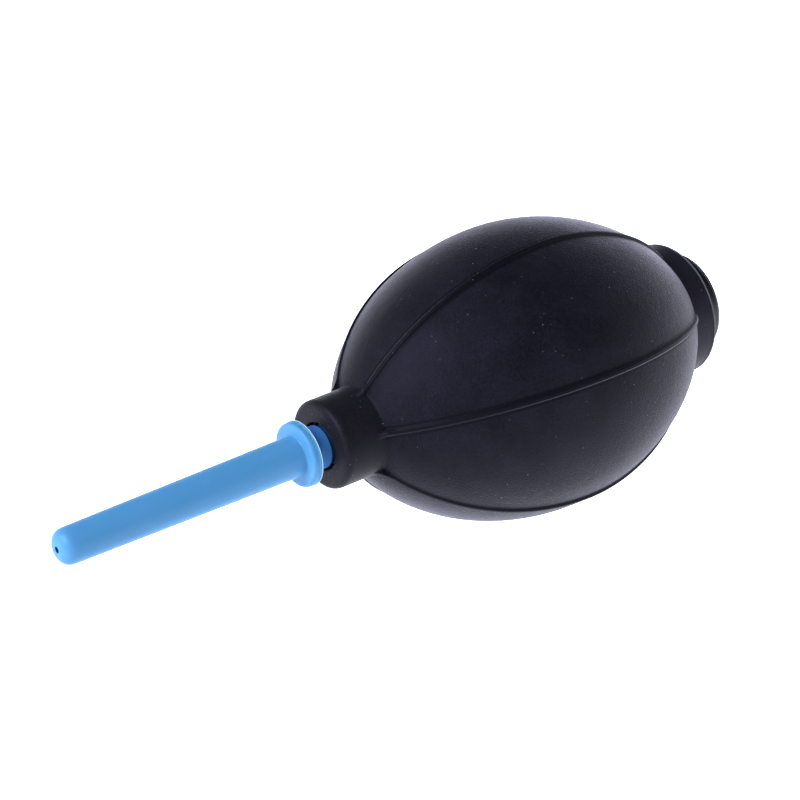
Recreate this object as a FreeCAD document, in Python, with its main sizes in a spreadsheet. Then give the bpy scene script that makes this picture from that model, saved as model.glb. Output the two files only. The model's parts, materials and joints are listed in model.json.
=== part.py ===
import FreeCAD, Part
import math
import os
from types import SimpleNamespace

import Sketcher

# A dust blower: a ribbed rubber bulb that lies on its belly, with a push-in nozzle at the
# front and an air inlet valve in the collar at the rear.
# Lengths are millimetres and angles are degrees. "Along" is measured on the bulb's axis from
# its widest section, positive towards the rear, and "out" is the distance from that axis.
DIMENSIONS = [
    # rubber bulb
    ("belly_radius", 27.5, "bulb, greatest radius"),
    ("wall", 2.8, "bulb, wall at the belly"),
    ("belly_give", 0.35, "bulb, how far its soft belly flattens under the blower's own weight"),
    ("front_bend_along", 22.1, "bulb, where the front outline turns in faster"),
    ("front_bend_out", 22.55, "bulb, radius there"),
    ("shoulder_curve", 39.83, "bulb, curvature from that bend to the neck"),
    ("shoulder_end", 38.4, "bulb, where the front outline meets the neck"),
    ("neck_radius", 8.3, "neck, outer radius"),
    ("neck_round", 1.4, "neck, rounding of its front edge"),
    ("neck_face", 47.3, "neck, front face"),
    ("neck_bore", 4.05, "neck, bore that grips the nozzle"),
    ("mouth_radius", 4.5, "neck, wider mouth of that bore, radius"),
    ("mouth_depth", 1.2, "neck, depth of that mouth"),
    ("cavity_front", 36.5, "hollow, front end"),
    ("cavity_rear", 32.4, "hollow, flat rear end"),
    ("cavity_rear_radius", 7.8, "hollow, radius of that flat"),
    ("collar_front", 33.0, "collar, where the rear outline meets it"),
    ("collar_root", 12.7, "bulb, radius where it meets the collar"),
    ("collar_radius", 13.0, "collar, outer radius"),
    ("collar_round", 0.7, "collar, rounding of its rear edge"),
    ("collar_rear", 37.8, "collar, rear face"),
    ("collar_bore", 6.05, "collar, bore that grips the valve"),
    ("rib_count", 6, "ribs, number"),
    ("rib_height", 0.45, "ribs, height over the bulb"),
    ("rib_depth", 1.2, "ribs, depth of their root in the wall"),
    ("rib_width", 1.2, "ribs, width"),
    ("rib_front", 39.6, "ribs, front end, on the neck"),
    ("rib_lean", 10.0, "lowest rib, angle from straight down"),
    # nozzle
    ("tip_end", 101.6, "nozzle, end of the tip"),
    ("tip_radius", 3.26, "nozzle, radius at the tip"),
    ("tip_round", 2.5, "nozzle, rounding of the tip"),
    ("tip_hole", 0.6, "nozzle, outlet hole, radius"),
    ("tip_hole_length", 3.0, "nozzle, outlet hole, length"),
    ("throat_length", 3.0, "nozzle, cone behind the outlet hole"),
    ("tube_radius", 3.78, "nozzle, radius where it meets the flange"),
    ("tube_fillet", 0.4, "nozzle, fillet there"),
    ("flange_front", 52.75, "nozzle flange, front face"),
    ("flange_rear", 51.05, "nozzle flange, rear face"),
    ("flange_radius", 6.1, "nozzle flange, radius"),
    ("flange_round", 0.7, "nozzle flange, rounding of its front edge"),
    ("spigot_radius", 4.0, "nozzle spigot, radius"),
    ("waist_radius", 3.4, "nozzle spigot, waist just inside the neck, radius"),
    ("waist_front", 47.45, "nozzle spigot, front of that waist"),
    ("waist_rear", 45.3, "nozzle spigot, rear of that waist"),
    ("spigot_end", 37.6, "nozzle spigot, inner end"),
    ("spigot_chamfer", 0.6, "nozzle spigot, chamfer at that end"),
    ("nozzle_bore", 2.4, "nozzle, bore radius"),
    # inlet valve housing, a plug with a flange behind the collar
    ("rear_end", 42.0, "valve housing, rear face"),
    ("cap_radius", 10.0, "valve housing, flange radius"),
    ("cap_round", 0.6, "valve housing, rounding of the flange"),
    ("recess_radius", 5.6, "valve housing, recess for the screen"),
    ("recess_floor", 40.4, "valve housing, floor of that recess"),
    ("plug_radius", 6.0, "valve housing, plug in the collar's bore"),
    ("barb_radius", 6.9, "valve housing, barb behind the collar's wall"),
    ("barb_shoulder", 32.35, "valve housing, shoulder of the barb"),
    ("barb_tip", 30.6, "valve housing, front end of the barb"),
    ("nose_radius", 5.0, "valve housing, nose that carries the cage"),
    ("seat", 29.6, "valve housing, seat of the disc"),
    ("passage_radius", 2.6, "valve housing, air passage"),
    # inlet valve disc
    ("disc_radius", 4.2, "valve disc, radius"),
    ("disc_thickness", 0.8, "valve disc, thickness"),
    ("disc_gap", 0.02, "valve disc, gap at its seat and its spring"),
    ("disc_boss_radius", 1.8, "valve disc, boss that centres the spring"),
    ("disc_boss_height", 0.6, "valve disc, height of that boss"),
    # inlet valve cage
    ("cage_outer", 5.95, "valve cage, outer radius"),
    ("cage_inner", 5.02, "valve cage, inner radius"),
    ("cage_rim", 30.55, "valve cage, open end"),
    ("cage_floor", 25.4, "valve cage, inside of its end wall"),
    ("cage_end", 24.6, "valve cage, outside of its end wall"),
    ("cage_boss_radius", 1.8, "valve cage, boss that centres the spring"),
    ("cage_boss_height", 0.8, "valve cage, height of that boss"),
    ("window_front", 26.5, "valve cage, side windows, front edge"),
    ("window_rear", 28.4, "valve cage, side windows, rear edge"),
    ("window_width", 3.0, "valve cage, side windows, width"),
    ("window_pairs", 2, "valve cage, pairs of side windows"),
    ("vent_radius", 0.8, "valve cage, vents in the end wall"),
    ("vent_circle", 3.6, "valve cage, radius of the circle of vents"),
    ("vent_count", 6, "valve cage, number of vents"),
    # inlet valve spring
    ("spring_radius", 2.4, "valve spring, mean radius"),
    ("spring_wire", 0.2, "valve spring, radius of its wire"),
    ("spring_turns", 3, "valve spring, number of turns"),
    # inlet screen and its ring
    ("screen_radius", 5.5, "screen, radius"),
    ("screen_thickness", 0.35, "screen, thickness"),
    ("mesh_hole", 0.36, "screen, radius of one hole"),
    ("mesh_pitch", 1.05, "screen, distance between circles of holes"),
    ("mesh_circles", 2, "screen, number of circles of holes"),
    ("mesh_first_count", 6, "screen, holes on the first circle"),
    ("ring_wire", 0.4, "snap ring, radius of its wire"),
    ("ring_radius", 5.15, "snap ring, mean radius"),
    ("ring_arc", 320.0, "snap ring, angle that the wire covers"),
]


class Size:
    """A number, together with the expression over the sheet's cells that gives it."""

    def __init__(self, value, text):
        self.value = value
        self.text = text

    def __neg__(self):
        return Size(-self.value, f"(-{self.text})")

    def __add__(self, other):
        other = as_size(other)
        return Size(self.value + other.value, f"({self.text} + {other.text})")

    def __sub__(self, other):
        other = as_size(other)
        return Size(self.value - other.value, f"({self.text} - {other.text})")

    def __mul__(self, other):
        other = as_size(other)
        return Size(self.value * other.value, f"({self.text} * {other.text})")

    def __truediv__(self, other):
        other = as_size(other)
        return Size(self.value / other.value, f"({self.text} / {other.text})")


def as_size(number):
    if isinstance(number, Size):
        return number
    return Size(float(number), str(number))


def fill_sheet(doc):
    """Write the driving dimensions to a sheet and return them as sizes."""
    sheet = doc.addObject("Spreadsheet::Sheet", "Dimensions")
    sizes = {}
    for row, (alias, value, meaning) in enumerate(DIMENSIONS, start=1):
        sheet.set(f"A{row}", meaning)
        sheet.set(f"B{row}", str(value))
        sheet.setAlias(f"B{row}", alias)
        sizes[alias] = Size(float(value), f"Dimensions.{alias}")
    doc.recompute()
    return SimpleNamespace(**sizes)


doc = FreeCAD.newDocument("dust_blower")
dim = fill_sheet(doc)
ZERO = as_size(0)
axis_shift = (dim.tip_end - dim.rear_end) / 2
axis_height = dim.belly_radius - dim.belly_give


# ---- building blocks ----

def new_body(label):
    """A body whose X axis is the bulb's axis, at the height at which the bulb lies."""
    body = doc.addObject("PartDesign::Body", label)
    body.Label = label
    body.setExpression("Placement.Base.x", axis_shift.text)
    body.setExpression("Placement.Base.z", axis_height.text)
    return body


def origin_feature(body, role):
    return next(item for item in body.Origin.OriginFeatures if item.Role == role)


def new_sketch(body, name, role="XY_Plane", offset=None):
    """A sketch on one of the body's origin planes, moved along its normal by offset."""
    sketch = body.newObject("Sketcher::SketchObject", f"{body.Label}_{name}")
    sketch.AttachmentSupport = (origin_feature(body, role), [""])
    sketch.MapMode = "FlatFace"
    if offset is not None:
        sketch.setExpression("AttachmentOffset.Base.z", offset.text)
    return sketch


def constrain(sketch, size, *what):
    """Add a dimension whose value is bound to the sheet."""
    index = sketch.addConstraint(Sketcher.Constraint(*what, size.value))
    sketch.setExpression(f"Constraints[{index}]", size.text)


def fix_point(sketch, edge, end, x, y):
    """Hold one end of an edge at (x, y) from the sketch's origin."""
    if x.value == 0:
        sketch.addConstraint(Sketcher.Constraint("PointOnObject", edge, end, -2))
    else:
        constrain(sketch, x, "DistanceX", -1, 1, edge, end)
    if y.value == 0:
        sketch.addConstraint(Sketcher.Constraint("PointOnObject", edge, end, -1))
    else:
        constrain(sketch, y, "DistanceY", -1, 1, edge, end)


def arc_between(start, finish, radius):
    """The shorter arc between two points. A positive radius bends to the left of the way."""
    chord = finish - start
    left = FreeCAD.Vector(-chord.y, chord.x, 0).normalize()
    rise = math.sqrt(radius * radius - chord.Length ** 2 / 4)
    centre = (start + finish) / 2 - left * math.copysign(rise, radius)
    first, last = (finish, start) if radius > 0 else (start, finish)
    begin = math.atan2(first.y - centre.y, first.x - centre.x)
    end = math.atan2(last.y - centre.y, last.x - centre.x)
    if end < begin:
        end += 2 * math.pi
    circle = Part.Circle(centre, FreeCAD.Vector(0, 0, 1), abs(radius))
    return Part.ArcOfCircle(circle, begin, end)


def draw_outline(sketch, points):
    """A closed outline. A point is (x, y), or (x, y, radius) where an arc leads up to it."""
    corners = [FreeCAD.Vector(point[0].value, point[1].value, 0) for point in points]
    ends = []
    for index, point in enumerate(points):
        start, finish = corners[index - 1], corners[index]
        if len(point) == 2:
            edge = sketch.addGeometry(Part.LineSegment(start, finish), False)
            ends.append((edge, 1, 2))
            continue
        radius = point[2].value
        edge = sketch.addGeometry(arc_between(start, finish, radius), False)
        ends.append((edge, 2, 1) if radius > 0 else (edge, 1, 2))
    for index, (edge, first, last) in enumerate(ends):
        before, _, before_last = ends[index - 1]
        sketch.addConstraint(Sketcher.Constraint("Coincident", before, before_last, edge, first))
        fix_point(sketch, edge, last, points[index][0], points[index][1])
        if len(points[index]) == 3:
            radius = points[index][2]
            constrain(sketch, -radius if radius.value < 0 else radius, "Radius", edge)


def draw_circle(sketch, x, y, radius):
    centre = FreeCAD.Vector(x.value, y.value, 0)
    circle = Part.Circle(centre, FreeCAD.Vector(0, 0, 1), radius.value)
    edge = sketch.addGeometry(circle, False)
    fix_point(sketch, edge, 3, x, y)
    constrain(sketch, radius, "Radius", edge)


def revolve(body, sketch, angle=as_size(360)):
    feature = body.newObject("PartDesign::Revolution", f"{body.Label}_revolution")
    feature.Profile = sketch
    feature.ReferenceAxis = (sketch, ["H_Axis"])
    feature.setExpression("Angle", angle.text)
    return feature


def pad(body, sketch, length, both_sides=False):
    feature = body.newObject("PartDesign::Pad", f"{sketch.Label}_pad")
    feature.Profile = sketch
    feature.setExpression("Length", length.text)
    if both_sides:
        feature.SideType = "Symmetric"
    return feature


def cut_through(body, sketch, both_sides=True):
    """Cut a sketch through the body, both ways or below it, and check that it removes material."""
    doc.recompute()
    before = body.Shape.Volume
    feature = body.newObject("PartDesign::Pocket", f"{sketch.Label}_pocket")
    feature.Profile = sketch
    feature.Type = "ThroughAll"
    if both_sides:
        feature.SideType = "Symmetric"
    doc.recompute()
    if not feature.Shape.Volume < before:
        raise SystemExit(f"{feature.Label} removes nothing")
    return feature


def repeat_round_axis(body, feature, count, angle=360.0):
    pattern = body.newObject("PartDesign::PolarPattern", f"{feature.Label}_pattern")
    pattern.Originals = [feature]
    pattern.Axis = (origin_feature(body, "X_Axis"), [""])
    pattern.Angle = angle
    pattern.setExpression("Occurrences", count.text)
    body.Tip = pattern
    return pattern


def dome_curve(along, drop):
    """The radius of an arc that is level at the belly and falls by drop over along."""
    return (along * along + drop * drop) / (drop * 2)


# ---- the pieces ----

def make_bulb():
    """The rubber bulb in one piece: neck, ribbed wall and rear collar, open at both ends."""
    body = new_body("bulb")
    inside = dim.belly_radius - dim.wall
    front_curve = dome_curve(dim.front_bend_along, dim.belly_radius - dim.front_bend_out)
    rear_curve = dome_curve(dim.collar_front, dim.belly_radius - dim.collar_root)
    cavity_rear_curve = dome_curve(dim.cavity_rear, inside - dim.cavity_rear_radius)
    cavity_front_curve = dome_curve(dim.cavity_front, inside - dim.neck_bore)
    mouth_floor = -dim.neck_face + dim.mouth_depth

    wall_outline = new_sketch(body, "outline")
    draw_outline(wall_outline, [
        (-dim.neck_face, dim.mouth_radius),
        (-dim.neck_face, dim.neck_radius - dim.neck_round),
        (-dim.neck_face + dim.neck_round, dim.neck_radius, dim.neck_round),
        (-dim.shoulder_end, dim.neck_radius),
        (-dim.front_bend_along, dim.front_bend_out, dim.shoulder_curve),
        (ZERO, dim.belly_radius, front_curve),
        (dim.collar_front, dim.collar_root, rear_curve),
        (dim.collar_front, dim.collar_radius),
        (dim.collar_rear - dim.collar_round, dim.collar_radius),
        (dim.collar_rear, dim.collar_radius - dim.collar_round, dim.collar_round),
        (dim.collar_rear, dim.collar_bore),
        (dim.cavity_rear, dim.collar_bore),
        (dim.cavity_rear, dim.cavity_rear_radius),
        (ZERO, inside, -cavity_rear_curve),
        (-dim.cavity_front, dim.neck_bore, -cavity_front_curve),
        (mouth_floor, dim.neck_bore),
        (mouth_floor, dim.mouth_radius),
    ])
    revolve(body, wall_outline)

    def raised(height):
        """The bulb's outline from the neck to the collar, moved outwards by height."""
        return [
            (-dim.rib_front, dim.neck_radius + height),
            (-dim.front_bend_along, dim.front_bend_out + height, dim.shoulder_curve),
            (ZERO, dim.belly_radius + height, front_curve),
            (dim.collar_front, dim.collar_root + height, rear_curve),
        ]

    root = [
        (dim.collar_front, dim.collar_root - dim.rib_depth),
        (ZERO, dim.belly_radius - dim.rib_depth, -rear_curve),
        (-dim.front_bend_along, dim.front_bend_out - dim.rib_depth, -front_curve),
        (-dim.rib_front, dim.neck_radius - dim.rib_depth, -dim.shoulder_curve),
    ]
    rib_outline = new_sketch(body, "rib")
    straight_down = FreeCAD.Rotation(FreeCAD.Vector(1, 0, 0), -90 + dim.rib_lean.value)
    rib_outline.AttachmentOffset = FreeCAD.Placement(FreeCAD.Vector(), straight_down)
    draw_outline(rib_outline, raised(dim.rib_height) + root)
    rib = pad(body, rib_outline, dim.rib_width, both_sides=True)
    repeat_round_axis(body, rib, dim.rib_count)

    # the patch that the soft belly takes under the blower's own weight, where it lies
    patch = new_sketch(body, "resting_patch", offset=-axis_height)
    draw_outline(patch, [
        (-dim.belly_radius, -dim.belly_radius),
        (-dim.belly_radius, dim.belly_radius),
        (dim.belly_radius, dim.belly_radius),
        (dim.belly_radius, -dim.belly_radius),
    ])
    cut_through(body, patch, both_sides=False)
    return body


def make_nozzle():
    """The plastic nozzle: a tapered tube, a flange and the spigot that the neck grips."""
    body = new_body("nozzle")
    hole_end = dim.tip_end - dim.tip_hole_length
    outline = new_sketch(body, "outline")
    draw_outline(outline, [
        (-dim.tip_end, dim.tip_hole),
        (-dim.tip_end, dim.tip_radius - dim.tip_round),
        (-dim.tip_end + dim.tip_round, dim.tip_radius, dim.tip_round),
        (-dim.flange_front - dim.tube_fillet, dim.tube_radius),
        (-dim.flange_front, dim.tube_radius + dim.tube_fillet, -dim.tube_fillet),
        (-dim.flange_front, dim.flange_radius - dim.flange_round),
        (-dim.flange_front + dim.flange_round, dim.flange_radius, dim.flange_round),
        (-dim.flange_rear, dim.flange_radius),
        (-dim.flange_rear, dim.spigot_radius),
        (-dim.waist_front, dim.spigot_radius),
        (-dim.waist_front, dim.waist_radius),
        (-dim.waist_rear, dim.waist_radius),
        (-dim.waist_rear, dim.spigot_radius),
        (-dim.spigot_end - dim.spigot_chamfer, dim.spigot_radius),
        (-dim.spigot_end, dim.spigot_radius - dim.spigot_chamfer),
        (-dim.spigot_end, dim.nozzle_bore),
        (-hole_end + dim.throat_length, dim.nozzle_bore),
        (-hole_end, dim.tip_hole),
    ])
    revolve(body, outline)
    return body


def make_valve_housing():
    """The plug in the collar: flange, recess for the screen, barb, nose and seat."""
    body = new_body("inlet_valve_housing")
    outline = new_sketch(body, "outline")
    draw_outline(outline, [
        (dim.seat, dim.passage_radius),
        (dim.seat, dim.nose_radius),
        (dim.barb_tip, dim.nose_radius),
        (dim.barb_tip, dim.plug_radius),
        (dim.barb_shoulder, dim.barb_radius),
        (dim.barb_shoulder, dim.plug_radius),
        (dim.collar_rear, dim.plug_radius),
        (dim.collar_rear, dim.cap_radius),
        (dim.rear_end - dim.cap_round, dim.cap_radius),
        (dim.rear_end, dim.cap_radius - dim.cap_round, dim.cap_round),
        (dim.rear_end, dim.recess_radius),
        (dim.recess_floor, dim.recess_radius),
        (dim.recess_floor, dim.passage_radius),
    ])
    revolve(body, outline)
    return body


def make_valve_disc():
    """The silicone disc that closes the passage from inside, with a boss for the spring."""
    body = new_body("inlet_valve_disc")
    rear = dim.seat - dim.disc_gap
    front = rear - dim.disc_thickness
    outline = new_sketch(body, "outline")
    draw_outline(outline, [
        (front - dim.disc_boss_height, ZERO),
        (front - dim.disc_boss_height, dim.disc_boss_radius),
        (front, dim.disc_boss_radius),
        (front, dim.disc_radius),
        (rear, dim.disc_radius),
        (rear, ZERO),
    ])
    revolve(body, outline)
    return body


def make_valve_cage():
    """The cup on the housing's nose that holds spring and disc, open to the air all round."""
    body = new_body("inlet_valve_cage")
    boss_end = dim.cage_floor + dim.cage_boss_height
    outline = new_sketch(body, "outline")
    draw_outline(outline, [
        (dim.cage_end, ZERO),
        (dim.cage_end, dim.cage_outer),
        (dim.cage_rim, dim.cage_outer),
        (dim.cage_rim, dim.cage_inner),
        (dim.cage_floor, dim.cage_inner),
        (dim.cage_floor, dim.cage_boss_radius),
        (boss_end, dim.cage_boss_radius),
        (boss_end, ZERO),
    ])
    revolve(body, outline)

    half_window = dim.window_width / 2
    window_outline = new_sketch(body, "window")
    draw_outline(window_outline, [
        (dim.window_front, -half_window),
        (dim.window_front, half_window),
        (dim.window_rear, half_window),
        (dim.window_rear, -half_window),
    ])
    windows = cut_through(body, window_outline)
    repeat_round_axis(body, windows, dim.window_pairs, angle=180.0)

    vent_outline = new_sketch(body, "vent", role="YZ_Plane")
    draw_circle(vent_outline, dim.vent_circle, ZERO, dim.vent_radius)
    vents = cut_through(body, vent_outline)
    repeat_round_axis(body, vents, dim.vent_count)
    return body


def make_valve_spring():
    """The light coil spring between the cage and the disc."""
    body = new_body("inlet_valve_spring")
    disc_front = dim.seat - dim.disc_gap - dim.disc_thickness
    first = dim.cage_floor + dim.disc_gap + dim.spring_wire
    last = disc_front - dim.disc_gap - dim.spring_wire
    wire = new_sketch(body, "wire")
    draw_circle(wire, first, dim.spring_radius, dim.spring_wire)
    doc.recompute()
    coil = body.newObject("PartDesign::AdditiveHelix", "inlet_valve_spring_coil")
    coil.Profile = wire
    coil.ReferenceAxis = (wire, ["H_Axis"])
    coil.Mode = "height-turns-angle"
    coil.setExpression("Height", (last - first).text)
    coil.setExpression("Turns", dim.spring_turns.text)
    return body


def make_inlet_screen():
    """The perforated steel disc that keeps grit out of the air passage."""
    body = new_body("inlet_screen")
    disc = new_sketch(body, "disc", role="YZ_Plane", offset=dim.recess_floor)
    draw_circle(disc, ZERO, ZERO, dim.screen_radius)
    pad(body, disc, dim.screen_thickness)
    centre_hole = new_sketch(body, "centre_hole", role="YZ_Plane", offset=dim.recess_floor)
    draw_circle(centre_hole, ZERO, ZERO, dim.mesh_hole)
    cut_through(body, centre_hole)
    for circle in range(1, int(dim.mesh_circles.value) + 1):
        hole = new_sketch(body, f"hole_{circle}", role="YZ_Plane", offset=dim.recess_floor)
        draw_circle(hole, dim.mesh_pitch * circle, ZERO, dim.mesh_hole)
        repeat_round_axis(body, cut_through(body, hole), dim.mesh_first_count * circle)
    return body


def make_screen_ring():
    """The sprung ring of round wire that holds the screen in the recess."""
    body = new_body("screen_ring")
    wire = new_sketch(body, "wire")
    resting = dim.recess_floor + dim.screen_thickness + dim.ring_wire
    draw_circle(wire, resting, dim.ring_radius, dim.ring_wire)
    revolve(body, wire, angle=dim.ring_arc)
    return body


pieces = [
    make_bulb(),
    make_nozzle(),
    make_valve_housing(),
    make_valve_disc(),
    make_valve_cage(),
    make_valve_spring(),
    make_inlet_screen(),
    make_screen_ring(),
]
doc.recompute()

for item in doc.Objects:
    if "Invalid" in item.State or "Error" in item.State:
        raise SystemExit(f"{item.Label} failed: {item.State}")
for piece in pieces:
    if piece.Shape.isNull() or not piece.Shape.isValid() or len(piece.Shape.Solids) != 1:
        raise SystemExit(f"{piece.Label} is not one valid solid")

os.makedirs("parts", exist_ok=True)
for piece in pieces:
    piece.Shape.exportStep(f"parts/{piece.Label}.step")
    print(f"{piece.Label}: {piece.Shape.Volume:.1f} mm3")
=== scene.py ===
import json
import math

import bmesh
import bpy
import numpy as np
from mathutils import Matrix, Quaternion, Vector


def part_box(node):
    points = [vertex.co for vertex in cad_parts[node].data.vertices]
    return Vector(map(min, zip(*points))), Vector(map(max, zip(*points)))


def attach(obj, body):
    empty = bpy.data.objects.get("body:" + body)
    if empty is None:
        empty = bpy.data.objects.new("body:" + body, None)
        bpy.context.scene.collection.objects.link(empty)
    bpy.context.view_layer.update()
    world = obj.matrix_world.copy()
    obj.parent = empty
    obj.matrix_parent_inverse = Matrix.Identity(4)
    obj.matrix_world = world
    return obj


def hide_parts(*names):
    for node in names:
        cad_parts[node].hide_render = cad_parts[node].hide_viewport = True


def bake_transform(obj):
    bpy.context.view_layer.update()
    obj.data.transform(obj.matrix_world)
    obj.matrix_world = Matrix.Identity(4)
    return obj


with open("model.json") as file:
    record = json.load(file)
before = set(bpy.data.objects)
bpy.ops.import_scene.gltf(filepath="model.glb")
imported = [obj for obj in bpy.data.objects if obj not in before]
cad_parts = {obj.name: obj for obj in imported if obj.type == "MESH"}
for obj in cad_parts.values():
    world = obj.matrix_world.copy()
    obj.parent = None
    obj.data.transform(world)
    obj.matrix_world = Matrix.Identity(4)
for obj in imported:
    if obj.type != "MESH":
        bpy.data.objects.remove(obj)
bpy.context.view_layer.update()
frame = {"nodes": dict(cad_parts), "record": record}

# A dust blower lying on its belly: ribbed black rubber bulb, light blue nozzle at -X, inlet
# valve at +X. Outlines are drawn as (along, out) points: along the bulb's axis from its
# widest section, positive towards the rear, and out from that axis. All lengths are metres.
MM = 0.001

# ---- places and sizes that the frame gives ----
mounts = {mount["name"]: mount for mount in frame["record"]["mounts"]}
bulb_low, bulb_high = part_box("bulb")
nozzle_low, nozzle_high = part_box("nozzle")
housing_low, housing_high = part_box("inlet_valve_housing")
screen_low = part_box("inlet_screen")[0]

AXIS_Z = mounts["nozzle_outlet"]["pos_m"][2]
BELLY_RADIUS = (bulb_high.y - bulb_low.y) / 2
COLLAR_REAR = 37.8 * MM
BELLY_X = bulb_high.x - COLLAR_REAR
NECK_FACE = bulb_low.x - BELLY_X
TIP_END = nozzle_low.x - BELLY_X
SPIGOT_END = nozzle_high.x - BELLY_X
REAR_END = housing_high.x - BELLY_X

# ---- the bulb ----
FRONT_REACH, FRONT_POWER, FRONT_ROUND = 41.28 * MM, 2.03, 1.66
REAR_REACH, REAR_POWER, REAR_ROUND = 38.75 * MM, 1.89, 1.76
NECK_RADIUS = 8.3 * MM
NECK_BORE = 4.05 * MM              # radius
MOUTH_RADIUS = 4.5 * MM            # the neck's bore is wider at its mouth
MOUTH_DEPTH = 1.2 * MM
COLLAR_RADIUS = 12.88 * MM
LIP_RADIUS = 13.0 * MM             # a fine lip ends the collar
LIP_WIDTH = 0.3 * MM
COLLAR_BORE = 6.05 * MM            # radius
CAVITY_FRONT = -36.5 * MM
CAVITY_REAR = 32.4 * MM
CAVITY_REAR_RADIUS = 7.8 * MM
WALL = 2.8 * MM                    # at the belly

# ---- the bulb's ribs ----
RIB_ANGLES = [40, 100, 159.4, 220, 280, 340]     # degrees from +Y, turning up towards +Z
RIB_HEIGHT = 0.5 * MM
RIB_CROWN = 0.24 * MM              # half the width of its flat top
RIB_FOOT = 0.7 * MM                # half the width of its foot
RIB_FADES = -14 * MM               # it gets lower from here to the neck
RIB_LOW = 0.55                     # what is left of its height at the neck
RIB_LEAVES_BULB = -37.2 * MM       # from here it runs down onto the neck
RIB_END_ON_NECK = -40.3 * MM
RIB_TAPER = 1.3                    # 1 would be a straight run down onto the neck
RIB_RUN_ON_COLLAR = 0.6 * MM
RIB_ON_COLLAR = 0.4                # what is left of its height where the collar begins
RIB_SMOOTH = 1.15 * MM             # no grain this near to the middle of a rib
RIB_MARGIN = 1.3 * MM              # the mesh is finer this near to the middle of a rib
RIB_MARKS = [0.08, 0.16, 0.24, 0.31, 0.37, 0.43, 0.49, 0.55, 0.61, 0.66, 0.7, 0.78, 0.95, 1.15]
GAP_COLUMNS = 14                   # columns of the mesh between two ribs


def bulb_radius(along):
    """The bulb's outline: a superellipse in front of the belly and another behind it."""
    if along < 0:
        reach, power, roundness = FRONT_REACH, FRONT_POWER, FRONT_ROUND
    else:
        reach, power, roundness = REAR_REACH, REAR_POWER, REAR_ROUND
    share = min(abs(along) / reach, 1.0)
    return BELLY_RADIUS * (1 - share ** power) ** (1 / roundness)


def where_radius_is(radius, start, end):
    """The place between start (wider) and end (narrower) where the bulb has that radius."""
    for _ in range(50):
        middle = (start + end) / 2
        if bulb_radius(middle) > radius:
            start = middle
        else:
            end = middle
    return start


NECK_JOIN = where_radius_is(NECK_RADIUS, 0.0, -FRONT_REACH)
COLLAR_JOIN = where_radius_is(COLLAR_RADIUS, 0.0, REAR_REACH)


# ---- outlines ----

TOUCHING = 1e-7                    # points nearer than this are one point


def straight(start, end, steps=4):
    return [Vector(start).lerp(Vector(end), i / steps) for i in range(steps + 1)]


def ridged(start, end, ridges, depth, steps=8):
    """A straight run along the axis that dips by depth between its ridges."""
    points = straight(start, end, ridges * steps)
    for i, point in enumerate(points):
        point.y -= depth * (0.5 - 0.5 * math.cos(2 * math.pi * i / steps))
    return points


def dome(start, end, steps):
    """An arc of a circle centred under its wider end."""
    wide, narrow = (start, end) if start[1] > end[1] else (end, start)
    along, drop = narrow[0] - wide[0], wide[1] - narrow[1]
    radius = (along * along + drop * drop) / (2 * drop)
    points = []
    for i in range(steps + 1):
        x = start[0] + (end[0] - start[0]) * i / steps
        rise = math.sqrt(max(radius ** 2 - (x - wide[0]) ** 2, 0.0))
        points.append(Vector((x, wide[1] - radius + rise)))
    return points


def trim(points, reach):
    """Cut reach off the start of a polyline."""
    for index in range(len(points) - 1):
        length = (points[index + 1] - points[index]).length
        if reach < length:
            return [points[index].lerp(points[index + 1], reach / length)] + points[index + 1:]
        reach -= length
    return points[-1:]


def stretches_of(rows):
    """(name, points, reach) of each stretch of a ring, from the rows that closed_outline takes."""
    stretches = []
    for index, (name, begin, steps, rounding) in enumerate(rows):
        following = rows[(index + 1) % len(rows)][1]
        end = following[0] if isinstance(following, list) else following
        points = begin if isinstance(begin, list) else straight(begin, end, steps)
        stretches.append((name, points, rounding * MM))
    return stretches


def closed_outline(rows, steps=6):
    """The points of a ring and the name at each. A row is (name, corner, steps, rounding): it
    runs straight to the next row's corner in that many steps, or along the curve that it has
    in place of a corner. Its own corner is rounded over rounding, in mm, on both sides."""
    stretches = stretches_of(rows)
    trimmed = []
    for index, (name, points, reach) in enumerate(stretches):
        next_reach = stretches[(index + 1) % len(stretches)][2]
        points = trim(points, reach)
        points = trim(points[::-1], next_reach)[::-1]
        trimmed.append((name, points))
    outline, names = [], []
    for index, (name, points) in enumerate(trimmed):
        before, corner = trimmed[index - 1][1][-1], stretches[index][1][0]
        after = points[0]
        if (after - before).length > TOUCHING:
            for i in range(1, steps):
                t = i / steps
                bend = before * (1 - t) ** 2 + corner * 2 * t * (1 - t) + after * t ** 2
                outline.append(bend)
                names.append(name)
        else:
            points = points[1:]
        outline += points
        names += [name] * len(points)
    return outline, names


# ---- mesh making ----

def add_mesh(name, vertices, faces, materials, face_materials=None, smooth=True):
    """A new object. face_materials is the index in materials of each face's."""
    mesh = bpy.data.meshes.new(name)
    mesh.from_pydata([tuple(v) for v in vertices], [], faces)
    for material in materials:
        mesh.materials.append(material)
    if face_materials is not None:
        mesh.polygons.foreach_set("material_index", face_materials)
    shaped = bmesh.new()
    shaped.from_mesh(mesh)
    bmesh.ops.recalc_face_normals(shaped, faces=shaped.faces)
    shaped.to_mesh(mesh)
    shaped.free()
    mesh.polygons.foreach_set("use_smooth", [smooth] * len(mesh.polygons))
    obj = bpy.data.objects.new(name, mesh)
    bpy.context.scene.collection.objects.link(obj)
    return obj


def in_place(along, out, angle):
    return Vector((BELLY_X + along, out * math.cos(angle), AXIS_Z + out * math.sin(angle)))


def ring_faces(rings, columns):
    """The quads of a closed tube of closed rings."""
    faces = []
    for i in range(rings):
        following = (i + 1) % rings
        for j in range(columns):
            beside = (j + 1) % columns
            faces.append((i * columns + j, i * columns + beside,
                          following * columns + beside, following * columns + j))
    return faces


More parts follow.
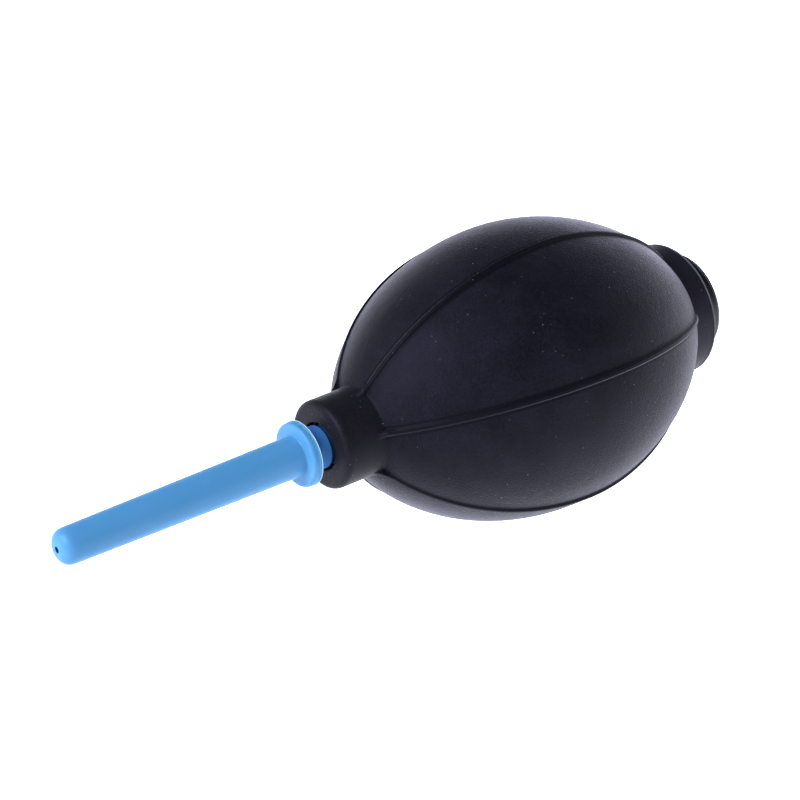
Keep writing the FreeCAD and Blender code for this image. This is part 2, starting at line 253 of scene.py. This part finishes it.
def turned(name, rows, material, finishes, columns=96):
    """A solid of revolution from the rows of its outline, all of one material apart from the
    stretches that finishes gives one of their own."""
    outline, names = closed_outline(rows)
    vertices = []
    for along, out in outline:
        for j in range(columns):
            vertices.append(in_place(along, out, 2 * math.pi * j / columns))
    index_of = {region: index + 1 for index, region in enumerate(finishes)}
    face_materials = [index_of.get(region, 0) for region in names for _ in range(columns)]
    return add_mesh(name, vertices, ring_faces(len(outline), columns),
                    [material, *finishes.values()], face_materials)


# ---- materials ----
# Noise scales are in patterns per metre: 3000 repeats about every third of a millimetre.

SPREAD = (0.3, 0.7)                # most of a noise's values lie between these
NARROW = (0.35, 0.65)              # many lie outside these, which gives more contrast
RING_STRETCH = (1.0, 0.02, 0.02)   # noise squeezed this way hardly changes round the axis
SPECK_CORE = 0.35                  # the part of a speck's reach that is wholly dust
FAINTEST_SPECK = 0.25


class Nodes:
    """A small helper over a node tree. Where it takes a value, it takes a socket too."""

    def __init__(self, tree):
        self.nodes = tree.nodes
        self.links = tree.links

    def put(self, value, socket):
        """Link a socket to an input, or set the input to a plain value."""
        if isinstance(value, bpy.types.NodeSocket):
            self.links.new(value, socket)
        elif socket.type == "RGBA":
            socket.default_value = (*value, 1.0)
        else:
            socket.default_value = value

    def add(self, kind, inputs=None, **settings):
        node = self.nodes.new(kind)
        for key, value in settings.items():
            setattr(node, key, value)
        for key, value in (inputs or {}).items():
            self.put(value, node.inputs[key])
        return node

    def remap(self, source, low, high, to_low, to_high, interpolation="LINEAR"):
        node = self.add("ShaderNodeMapRange", interpolation_type=interpolation, inputs={
            "Value": source, "From Min": low, "From Max": high,
            "To Min": to_low, "To Max": to_high})
        return node.outputs["Result"]

    def math(self, operation, first, second):
        node = self.add("ShaderNodeMath", {0: first, 1: second}, operation=operation)
        return node.outputs["Value"]

    def parts(self, vector):
        return self.add("ShaderNodeSeparateXYZ", {"Vector": vector}).outputs


class Shader(Nodes):
    """One material's nodes."""

    def __init__(self, name):
        self.material = bpy.data.materials.new(name)
        self.material.use_nodes = True
        super().__init__(self.material.node_tree)
        self.place = self.add("ShaderNodeTexCoord").outputs["Object"]

    def surface(self, values):
        """Set or link inputs of the material's Principled BSDF."""
        for key, value in values.items():
            self.put(value, self.nodes["Principled BSDF"].inputs[key])

    def noise(self, scale, detail=4.0, roughness=0.55, place=None):
        return self.add("ShaderNodeTexNoise", {
            "Vector": place or self.place, "Scale": scale, "Detail": detail,
            "Roughness": roughness}).outputs["Fac"]

    def rings(self, scale):
        """Noise that hardly changes except along the bulb's axis."""
        stretched = self.add("ShaderNodeMapping", {
            "Vector": self.place, "Scale": RING_STRETCH})
        return self.noise(scale, detail=2, place=stretched.outputs["Vector"])

    def mix(self, factor, first, second):
        """A mix of two colours."""
        node = self.add("ShaderNodeMix", data_type="RGBA")
        self.put(factor, node.inputs["Factor"])
        colours = {socket.name: socket for socket in node.inputs if socket.type == "RGBA"}
        self.put(first, colours["A"])
        self.put(second, colours["B"])
        return next(socket for socket in node.outputs if socket.type == "RGBA")

    def bump(self, height, strength, distance):
        return self.add("ShaderNodeBump", {
            "Height": height, "Strength": strength, "Distance": distance}).outputs["Normal"]

    def dust(self, cell, share, size):
        """1 on small scattered specks of about that size. share is the part of the cells that
        have one."""
        spots = self.add("ShaderNodeTexVoronoi", {
            "Vector": self.place, "Scale": 1 / cell, "Randomness": 1.0})
        reach = size / cell
        near = self.remap(spots.outputs["Distance"], reach, SPECK_CORE * reach, 0.0, 1.0)
        pick = self.add("ShaderNodeSeparateColor", {"Color": spots.outputs["Color"]})
        chosen = self.math("LESS_THAN", pick.outputs["Red"], share)
        faint = self.remap(pick.outputs["Green"], 0.0, 1.0, FAINTEST_SPECK, 1.0)
        return self.math("MULTIPLY", self.math("MULTIPLY", near, chosen), faint)


def linear(red, green, blue):
    """A colour as a screen shows it, 0 to 255, in the linear values that shaders use."""
    def channel(value):
        value = value / 255
        return value / 12.92 if value <= 0.04045 else ((value + 0.055) / 1.055) ** 2.4
    return (channel(red), channel(green), channel(blue))


VIOLET_BLOOM = (0.81, 0.79, 1.0)
GREY_BLOOM = (0.86, 0.84, 1.0)
DUST_COLOUR = linear(200, 200, 214)
DUST_CELL = 1.1 * MM
DUST_SIZE = 0.115 * MM
DUST_LEAST = 0.1                   # the share of cells with a speck where there is least
DUST_WHITENESS = 0.25
DUST_RELIEF, MOTTLE_RELIEF = 0.5, 1.6


def rubber(name, grain, roughness, sheen, dark, light, bloom=VIOLET_BLOOM, dusty=0.45):
    """Black moulded rubber with a fine grain, a faint bloom and the odd speck of dust. The
    bloom is the colour of its sheen, and dusty the share of specks where it is worst."""
    shader = Shader(name)
    mottle = shader.noise(110, detail=6, roughness=0.65)
    fine = shader.noise(3000, detail=3)
    blotch = shader.math("ADD", shader.math("MULTIPLY", mottle, 0.5),
                         shader.math("MULTIPLY", fine, 0.5))
    colour = shader.mix(shader.remap(blotch, *NARROW, 0, 1), dark, light)
    patches = shader.remap(shader.noise(45, detail=2), 0.42, 0.6, DUST_LEAST, dusty)
    specks = shader.dust(DUST_CELL, patches, DUST_SIZE)
    colour = shader.mix(shader.remap(specks, 0, 1, 0, DUST_WHITENESS), colour, DUST_COLOUR)
    rough = shader.remap(fine, *SPREAD, roughness - 0.08, roughness + 0.08)
    relief = shader.math("ADD", shader.math("MULTIPLY", fine, grain),
                         shader.math("MULTIPLY", specks, DUST_RELIEF))
    relief = shader.math("ADD", relief, shader.math("MULTIPLY", mottle, MOTTLE_RELIEF * grain))
    shader.surface({
        "Base Color": colour, "Roughness": rough, "IOR": 1.18,
        "Specular Tint": (0.72, 0.7, 1.0), "Sheen Weight": sheen, "Sheen Roughness": 0.31,
        "Sheen Tint": bloom, "Normal": shader.bump(relief, 1.0, 0.12 * MM)})
    return shader.material


def nozzle_plastic(name, first, second, ringed=0.0, waxy=0.5):
    """Blue polypropylene: smooth, a little waxy and translucent, and ringed by its mould."""
    shader = Shader(name)
    colour = shader.mix(shader.remap(shader.noise(60, detail=2), *SPREAD, 0, 1), first, second)
    rough = shader.remap(shader.noise(900, detail=3), *SPREAD, 0.38, 0.46)
    soft = shader.math("MULTIPLY", shader.noise(500, detail=1), 0.1)
    rings = shader.math("MULTIPLY", shader.rings(4000), ringed)
    relief = shader.math("ADD", soft, rings)
    shader.surface({
        "Base Color": colour, "Roughness": rough, "IOR": 1.26, "Subsurface Weight": waxy,
        "Subsurface Radius": (0.4, 0.8, 1.6), "Subsurface Scale": 1.5 * MM,
        "Normal": shader.bump(relief, 1.0, 0.02 * MM)})
    return shader.material


def turned_metal(name, dark, light, roughness):
    """Metal turned on a lathe, with fine rings about the bulb's axis."""
    shader = Shader(name)
    rings = shader.rings(9000)
    shader.surface({
        "Base Color": shader.mix(shader.remap(rings, *NARROW, 0, 1), dark, light),
        "Metallic": 0.7,
        "Roughness": shader.remap(rings, *SPREAD, roughness - 0.05, roughness + 0.08),
        "Normal": shader.bump(rings, 0.3, 0.02 * MM)})
    return shader.material


def moulded(name, first, second, roughness):
    """A plain moulded part: faint mottling, fine texture."""
    shader = Shader(name)
    rough = shader.remap(shader.noise(1500), *SPREAD, roughness - 0.05, roughness + 0.05)
    shader.surface({
        "Base Color": shader.mix(shader.remap(shader.noise(300), *SPREAD, 0, 1), first, second),
        "Roughness": rough,
        "Normal": shader.bump(shader.noise(2500), 0.2, 0.02 * MM)})
    return shader.material


# Colours are linear. Where two are given, a pattern mixes them.
grained_rubber = rubber("grained_rubber", grain=0.85, roughness=0.55, sheen=0.45,
                        dark=(0.0005, 0.0005, 0.0008), light=(0.007, 0.0066, 0.0125))
neck_rubber = rubber("neck_rubber", grain=0.3, roughness=0.48, sheen=0.1, dusty=0.9,
                     dark=(0.0034, 0.0031, 0.0046), light=(0.009, 0.0082, 0.0122))
flank_rubber = rubber("flank_rubber", grain=0.3, roughness=0.5, sheen=0.5,
                      dark=(0.0012, 0.0011, 0.0022), light=(0.0024, 0.0022, 0.0042))
rib_rubber = rubber("rib_rubber", grain=0.2, roughness=0.55, sheen=0.28,
                    dark=(0.0012, 0.0011, 0.0022), light=(0.0024, 0.0022, 0.0042))
# The collar is the bulb's own rubber painted lighter than the neck: painted light on the collar.
collar_rubber_painted_lighter = rubber("collar_rubber_painted_lighter", grain=0.5, roughness=0.5, sheen=0.26,
                       dark=(0.0075, 0.0068, 0.0112), light=(0.014, 0.0128, 0.02))
# The collar's fine lip is painted pale grey: a painted highlight along the collar's rear edge, not
# scuffing.
lip_rubber_painted_highlight = rubber("lip_rubber_painted_highlight", grain=0.3, roughness=0.5, sheen=0.3, bloom=GREY_BLOOM,
                        dark=(0.08, 0.08, 0.09), light=(0.13, 0.13, 0.145))
blue_plastic = nozzle_plastic("blue_plastic", (0.055, 0.2, 0.388), (0.061, 0.212, 0.408))
# The spigot is the nozzle's own plastic painted darker: painted shade from the flange and the neck
# over it. Its fine rings are real turning marks.
ringed_spigot_painted_shade = nozzle_plastic("ringed_spigot_painted_shade", (0.028, 0.12, 0.33), (0.033, 0.13, 0.35),
                                ringed=0.6, waxy=0.05)
# The flange's rim is the nozzle's plastic painted a little darker: painted shade against the light
# that falls on it. Its rings are real mould marks.
flange_rim_painted_shade = nozzle_plastic("flange_rim_painted_shade", (0.053, 0.19, 0.36), (0.059, 0.202, 0.38),
                                ringed=0.35)
# The bores are the nozzle's own plastic painted nearly black-blue: painted shade inside them.
bore_plastic_painted_shade = nozzle_plastic("bore_plastic_painted_shade", (0.006, 0.045, 0.1), (0.008, 0.055, 0.12),
                              waxy=0.0)
# The spigot's waist just inside the neck's mouth is painted dark blue: painted shade for the narrow
# gap there, not a mark left by the rubber.
waist_plastic_painted_shade = nozzle_plastic("waist_in_painted_shade", (0.006, 0.02, 0.05),
                                (0.012, 0.04, 0.1), waxy=0.0)
flash_plastic = nozzle_plastic("thin_flash", (0.40, 0.70, 0.92), (0.46, 0.74, 0.94))
black_metal = turned_metal("black_anodised_metal", linear(30, 30, 38), linear(44, 44, 54), 0.38)
worn_metal = turned_metal("worn_edge_of_metal", linear(92, 92, 104), linear(120, 120, 132), 0.35)
steel = turned_metal("stainless_steel", linear(150, 150, 153), linear(182, 182, 185), 0.3)
screen_steel = turned_metal("screen_steel", linear(92, 92, 96), linear(116, 116, 120), 0.42)
white_silicone = moulded("white_silicone", linear(214, 212, 204), linear(224, 222, 214), 0.6)
white_plastic = moulded("white_plastic", linear(218, 218, 214), linear(228, 228, 224), 0.45)


# ---- the bulb's mesh ----

FRONT_POINTS, REAR_POINTS = 90, 80         # along the outline, in front of the belly and behind
CAVITY_FRONT_STEPS, CAVITY_REAR_STEPS = 18, 16


def slope(along, step=0.02 * MM):
    return (bulb_radius(along + step) - bulb_radius(along - step)) / (2 * step)


def rib_height(along):
    """A rib's height square to the bulb: full over the belly, lower towards the neck."""
    share = (RIB_FADES - along) / (RIB_FADES - RIB_LEAVES_BULB)
    share = min(max(share, 0.0), 1.0)
    return RIB_HEIGHT * (1 - (1 - RIB_LOW) * share)


def rib_top(along):
    """How far out the top of a rib runs."""
    if along >= RIB_LEAVES_BULB:
        inside = min(along, COLLAR_JOIN)
        return bulb_radius(inside) + rib_height(inside) * math.sqrt(1 + slope(inside) ** 2)
    share = (along - RIB_END_ON_NECK) / (RIB_LEAVES_BULB - RIB_END_ON_NECK)
    if share <= 0:
        return 0.0
    return NECK_RADIUS + (rib_top(RIB_LEAVES_BULB) - NECK_RADIUS) * share ** RIB_TAPER


def rib_rise(along, out, region):
    """How far a rib stands over the surface at a point of the outline."""
    if region not in ("neck", "bulb", "collar"):
        return 0.0
    if along > COLLAR_JOIN:
        left = 1 - (along - COLLAR_JOIN) / RIB_RUN_ON_COLLAR
        return RIB_ON_COLLAR * RIB_HEIGHT * max(left, 0.0)
    return max(rib_top(along) - out, 0.0)


def rib_columns():
    """The columns of the bulb's mesh: (rib, distance from its middle or None, share of the gap)."""
    near = [-m * MM for m in reversed(RIB_MARKS)] + [0.0] + [m * MM for m in RIB_MARKS]
    columns = []
    for rib in range(len(RIB_ANGLES)):
        columns += [(rib, distance, None) for distance in near]
        columns += [(rib, None, (i + 1) / (GAP_COLUMNS + 1)) for i in range(GAP_COLUMNS)]
    return columns


def bead(distance):
    """The section of a rib, 1 on its top: a flat crown and steep flanks."""
    share = (RIB_FOOT - abs(distance)) / (RIB_FOOT - RIB_CROWN)
    share = min(max(share, 0.0), 1.0)
    return share * share * (3 - 2 * share)


def bulb_outline():
    front_places = np.linspace(NECK_JOIN, 0, FRONT_POINTS)
    rear_places = np.linspace(0, COLLAR_JOIN, REAR_POINTS)[1:]
    skin = [Vector((x, bulb_radius(x))) for x in [*front_places, *rear_places]]
    inside = BELLY_RADIUS - WALL
    cavity = dome((CAVITY_REAR, CAVITY_REAR_RADIUS), (0, inside), CAVITY_REAR_STEPS)
    cavity += dome((0, inside), (CAVITY_FRONT, NECK_BORE), CAVITY_FRONT_STEPS)[1:]
    lip_start = COLLAR_REAR - LIP_WIDTH
    mouth_floor = NECK_FACE + MOUTH_DEPTH
    return closed_outline([
        ("bore", (CAVITY_FRONT, NECK_BORE), 8, 0.3),
        ("bore", (mouth_floor, NECK_BORE), 1, 0.05),
        ("bore", (mouth_floor, MOUTH_RADIUS), 2, 0.15),
        ("face", (NECK_FACE, MOUTH_RADIUS), 4, 0.25),
        ("neck", (NECK_FACE, NECK_RADIUS), 36, 1.3),
        ("bulb", skin, None, 0.4),
        ("collar", (COLLAR_JOIN, COLLAR_RADIUS), 14, 0.35),
        ("lip", (lip_start, COLLAR_RADIUS), 1, 0.05),
        ("lip", (lip_start, LIP_RADIUS), 2, 0.05),
        ("face", (COLLAR_REAR, LIP_RADIUS), 6, 0.16),
        ("bore", (COLLAR_REAR, COLLAR_BORE), 4, 0.2),
        ("cavity", (CAVITY_REAR, COLLAR_BORE), 2, 0.2),
        ("cavity", cavity, None, 0.5),
    ])


def bulb_finish(distance):
    """The finish of the bulb's faces on and beside a rib, or None where it's the grained one."""
    if distance is None or not -RIB_SMOOTH <= distance < RIB_SMOOTH:
        return None
    if -RIB_FOOT <= distance < -RIB_CROWN or RIB_CROWN <= distance < RIB_FOOT:
        return flank_rubber
    return rib_rubber


def make_bulb():
    outline, names = bulb_outline()
    columns = rib_columns()
    middles = [math.radians(angle) for angle in RIB_ANGLES]
    middles.append(middles[0] + 2 * math.pi)
    vertices = []
    for (along, out), region in zip(outline, names):
        rise = rib_rise(along, out, region)
        margin = RIB_MARGIN / out
        for rib, distance, share in columns:
            middle = middles[rib]
            if distance is None:
                gap = middles[rib + 1] - middle - 2 * margin
                angle = middle + margin + gap * share
                vertices.append(in_place(along, out, angle))
            else:
                height = rise * bead(distance)
                vertices.append(in_place(along, out + height, middle + distance / out))
    for vertex in vertices:
        vertex.z = max(vertex.z, 0.0)     # the patch on which the soft belly rests
    materials = [grained_rubber, neck_rubber, lip_rubber_painted_highlight, rib_rubber, collar_rubber_painted_lighter,
                 flank_rubber]
    finishes = {"bulb": grained_rubber, "lip": lip_rubber_painted_highlight, "collar": collar_rubber_painted_lighter}
    on_ribs = [bulb_finish(distance) for _, distance, _ in columns]
    picks = []
    for region in names:
        finish = finishes.get(region, neck_rubber)
        for on_rib in on_ribs:
            picks.append(materials.index(on_rib if on_rib and region == "bulb" else finish))
    return add_mesh("ribbed_bulb", vertices, ring_faces(len(outline), len(columns)),
                    materials, picks)


bulb = make_bulb()
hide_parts("bulb")
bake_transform(bulb)


# ---- the nozzle ----

TIP_RADIUS = 3.26 * MM
TIP_HOLE = 0.6 * MM                # radius
TUBE_RADIUS = 3.78 * MM
FLANGE_FRONT = -52.75 * MM
FLANGE_REAR = -51.05 * MM
FLANGE_RADIUS = 6.1 * MM
FLASH_HEIGHT, FLASH_WIDTH = 0.1 * MM, 0.12 * MM      # round the flange's rear edge
SPIGOT_RADIUS = 4.0 * MM
SPIGOT_RIDGES = 9                  # fine turning marks between the flange and the waist
RIDGE_DEPTH = 0.024 * MM
WAIST_RADIUS = 3.4 * MM            # the spigot is narrower just inside the neck
WAIST_FRONT, WAIST_REAR = -47.45 * MM, -45.3 * MM
NOZZLE_BORE = 2.4 * MM             # radius
HOLE_END = TIP_END + 3.0 * MM
THROAT_END = HOLE_END + 3.0 * MM   # the throat widens from the tip's hole to the bore


def make_nozzle():
    rim = FLANGE_RADIUS - FLASH_HEIGHT
    flash_front = FLANGE_REAR - FLASH_WIDTH
    marks = ridged((FLANGE_REAR, SPIGOT_RADIUS), (WAIST_FRONT, SPIGOT_RADIUS),
                   SPIGOT_RIDGES, RIDGE_DEPTH)
    return turned("blue_nozzle", [
        ("tip", (TIP_END, TIP_HOLE), 2, 0.08),
        ("tube", (TIP_END, TIP_RADIUS), 40, 2.4),
        ("flange", (FLANGE_FRONT, TUBE_RADIUS), 6, 0.3),
        ("rim", (FLANGE_FRONT, rim), 3, 0.75),
        ("flash", (flash_front, rim), 1, 0.0),
        ("flash", (flash_front, FLANGE_RADIUS), 1, 0.02),
        ("flange", (FLANGE_REAR, FLANGE_RADIUS), 4, 0.02),
        ("spigot", marks, None, 0.25),
        ("spigot", (WAIST_FRONT, SPIGOT_RADIUS), 1, 0.12),
        ("waist", (WAIST_FRONT, WAIST_RADIUS), 2, 0.05),
        ("waist", (WAIST_REAR, WAIST_RADIUS), 1, 0.05),
        ("spigot", (WAIST_REAR, SPIGOT_RADIUS), 10, 0.12),
        ("spigot", (SPIGOT_END, SPIGOT_RADIUS), 2, 0.5),
        ("bore", (SPIGOT_END, NOZZLE_BORE), 20, 0.1),
        ("bore", (THROAT_END, NOZZLE_BORE), 4, 0.3),
        ("bore", (HOLE_END, TIP_HOLE), 4, 0.2),
    ], blue_plastic, {"spigot": ringed_spigot_painted_shade, "flash": flash_plastic, "rim": flange_rim_painted_shade,
                      "waist": waist_plastic_painted_shade, "bore": bore_plastic_painted_shade})


nozzle = make_nozzle()
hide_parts("nozzle")
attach(nozzle, "nozzle")


# ---- the inlet valve's housing ----

CAP_RADIUS = 10.0 * MM
RECESS_RADIUS = 5.6 * MM
RECESS_FLOOR = screen_low.x - BELLY_X
PLUG_RADIUS = 6.0 * MM
BARB_RADIUS = 6.9 * MM
BARB_SHOULDER = 32.35 * MM
BARB_TIP = 30.6 * MM
NOSE_RADIUS = 5.0 * MM
SEAT = housing_low.x - BELLY_X
PASSAGE_RADIUS = 2.6 * MM
GROOVE_REAR = REAR_END - 0.6 * MM
GROOVE_WIDTH, GROOVE_DEPTH = 0.2 * MM, 0.12 * MM
WORN_WIDTH = 0.12 * MM             # the groove's rear edge is worn bright


def make_housing():
    groove_front, groove_floor = GROOVE_REAR - GROOVE_WIDTH, CAP_RADIUS - GROOVE_DEPTH
    return turned("valve_housing", [
        ("rim", (COLLAR_REAR, CAP_RADIUS), 6, 0.15),
        ("rim", (groove_front, CAP_RADIUS), 1, 0.03),
        ("rim", (groove_front, groove_floor), 1, 0.03),
        ("edge", (GROOVE_REAR, groove_floor), 1, 0.03),
        ("edge", (GROOVE_REAR, CAP_RADIUS), 1, 0.03),
        ("rim", (GROOVE_REAR + WORN_WIDTH, CAP_RADIUS), 2, 0.0),
        ("rear", (REAR_END, CAP_RADIUS), 6, 0.45),
        ("recess", (REAR_END, RECESS_RADIUS), 3, 0.25),
        ("recess", (RECESS_FLOOR, RECESS_RADIUS), 3, 0.1),
        ("passage", (RECESS_FLOOR, PASSAGE_RADIUS), 6, 0.15),
        ("seat", (SEAT, PASSAGE_RADIUS), 3, 0.15),
        ("nose", (SEAT, NOSE_RADIUS), 2, 0.1),
        ("barb", (BARB_TIP, NOSE_RADIUS), 2, 0.05),
        ("barb", (BARB_TIP, PLUG_RADIUS), 3, 0.1),
        ("barb", (BARB_SHOULDER, BARB_RADIUS), 2, 0.1),
        ("plug", (BARB_SHOULDER, PLUG_RADIUS), 4, 0.1),
        ("front", (COLLAR_REAR, PLUG_RADIUS), 3, 0.1),
    ], black_metal, {"edge": worn_metal}, columns=128)


housing = make_housing()
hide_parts("inlet_valve_housing")
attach(housing, "rear_valve")


# ---- the valve's spring ----

SPRING_RADIUS = 2.4 * MM           # out to the middle of the wire
WIRE_RADIUS = 0.2 * MM
SPRING_TURNS = 3
SPRING_FRONT = 25.62 * MM          # middle of the wire at the cage's end
SPRING_REAR = 28.56 * MM           # and at the disc


def make_spring(stations_a_turn=24, sides=12):
    """The coil as a round wire swept along a helix, closed by a flat at each end."""
    stations = stations_a_turn * SPRING_TURNS + 1
    vertices = []
    for i in range(stations):
        share = i / (stations - 1)
        turn = 2 * math.pi * SPRING_TURNS * share
        middle = SPRING_FRONT + (SPRING_REAR - SPRING_FRONT) * share
        for j in range(sides):
            side = 2 * math.pi * j / sides
            out = SPRING_RADIUS + WIRE_RADIUS * math.cos(side)
            vertices.append(in_place(middle + WIRE_RADIUS * math.sin(side), out, turn))
    faces = ring_faces(stations, sides)[:-sides]
    faces.append(tuple(range(sides)))
    faces.append(tuple(range((stations - 1) * sides, stations * sides)))
    return add_mesh("coil_spring", vertices, faces, [steel])


spring = make_spring()
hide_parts("inlet_valve_spring")
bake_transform(spring)


# ---- finishes of the CAD pieces that stay ----

def finish_node(node, material):
    mesh = frame["nodes"][node].data
    for index in range(max(len(mesh.materials), 1)):
        if index < len(mesh.materials):
            mesh.materials[index] = material
        else:
            mesh.materials.append(material)


finish_node("inlet_valve_disc", white_silicone)
finish_node("inlet_valve_cage", white_plastic)
finish_node("inlet_screen", screen_steel)
finish_node("screen_ring", steel)


# ---- floor, light and camera ----

def backwards(azimuth, elevation):
    """The way from the blower to a camera or light. Azimuth 0 is at -Y, and 90 is at +X."""
    a, e = math.radians(azimuth), math.radians(elevation)
    return Vector((math.sin(a) * math.cos(e), -math.cos(a) * math.cos(e), math.sin(e)))


def add_floor(nozzle_glow, rear_glow, half=3.0):
    """A white floor. It glows more towards the valve's side than towards the nozzle's."""
    shader = Shader("pale_floor")
    tone = shader.remap(shader.noise(1.5, detail=2), *SPREAD, 0, 1)
    along = shader.parts(shader.place)["X"]
    shader.surface({
        "Base Color": shader.mix(tone, (0.6, 0.6, 0.62), (0.62, 0.62, 0.64)),
        "Roughness": 0.9,
        "Emission Color": (0.95, 0.96, 1.0),
        "Emission Strength": shader.remap(along, nozzle_low.x, bulb_high.x,
                                          nozzle_glow, rear_glow)})
    corners = [(-half, -half, 0), (half, -half, 0), (half, half, 0), (-half, half, 0)]
    floor = add_mesh("floor", corners, [(0, 1, 2, 3)], [shader.material], smooth=False)


def add_softbox(name, azimuth, elevation, distance, size, watts, colour):
    """A square light that faces the middle of the blower."""
    back = backwards(azimuth, elevation)
    data = bpy.data.lights.new(name, "AREA")
    data.size = size
    data.energy = watts
    data.color = colour
    light = bpy.data.objects.new(name, data)
    light.location = Vector((0, 0, AXIS_Z)) + back * distance
    light.visible_camera = False
    light.rotation_euler = back.to_track_quat("Z", "Y").to_euler()
    bpy.context.scene.collection.objects.link(light)


# Where the sky changes, as Z or X of its direction: 0 is level or square to the axis.
SKY_FADE = (0.1, 0.6)
SKY_SIDES = (-0.4, 0.4)
BACKDROP_END = (0.09, 0.16)


def add_world(horizon, zenith, nozzle_side, rear_side, backdrop):
    """Bright at the horizon and dimmer overhead, times nozzle_side at -X and rear_side at +X.
    The lowest band is backdrop, white all round."""
    world = bpy.data.worlds.new("studio")
    world.use_nodes = True
    sky = Nodes(world.node_tree)
    way = sky.parts(sky.add("ShaderNodeTexCoord").outputs["Generated"])
    fade = sky.remap(way["Z"], *SKY_FADE, horizon, zenith, "SMOOTHSTEP")
    side = sky.remap(way["X"], *SKY_SIDES, nozzle_side, rear_side)
    above = sky.math("MULTIPLY", fade, side)
    strength = sky.remap(way["Z"], *BACKDROP_END, backdrop, above, "SMOOTHSTEP")
    background = sky.nodes["Background"].inputs
    sky.put(strength, background["Strength"])
    sky.put((0.94, 0.94, 1.0), background["Color"])
    bpy.context.scene.world = world


CAMERA_AZIMUTH, CAMERA_ELEVATION = -38.52, 29.13
CAMERA_DISTANCE = 0.4597
CAMERA_LENS = 115.0               # millimetres, on Blender's usual 36 mm sensor
CAMERA_AIM = Vector((BELLY_X - 29.09 * MM, 0, AXIS_Z + 2.98 * MM))
CAMERA_ROLL = -0.2


def add_camera():
    back = backwards(CAMERA_AZIMUTH, CAMERA_ELEVATION)
    data = bpy.data.cameras.new("camera")
    data.lens = CAMERA_LENS
    data.clip_start = 0.01
    camera = bpy.data.objects.new("camera", data)
    camera.location = CAMERA_AIM + back * CAMERA_DISTANCE
    roll = Quaternion((0, 0, 1), math.radians(CAMERA_ROLL))
    camera.rotation_euler = (back.to_track_quat("Z", "Y") @ roll).to_euler()
    bpy.context.scene.collection.objects.link(camera)
    bpy.context.scene.camera = camera


add_floor(nozzle_glow=1.3, rear_glow=2.2)
add_softbox("left", azimuth=-93, elevation=43, distance=0.8, size=0.5, watts=12.5,
            colour=(0.86, 0.92, 1.0))
add_world(horizon=0.92, zenith=0.35, nozzle_side=1.2, rear_side=0.25, backdrop=1.1)
add_camera()
bpy.context.scene.view_settings.view_transform = "Standard"
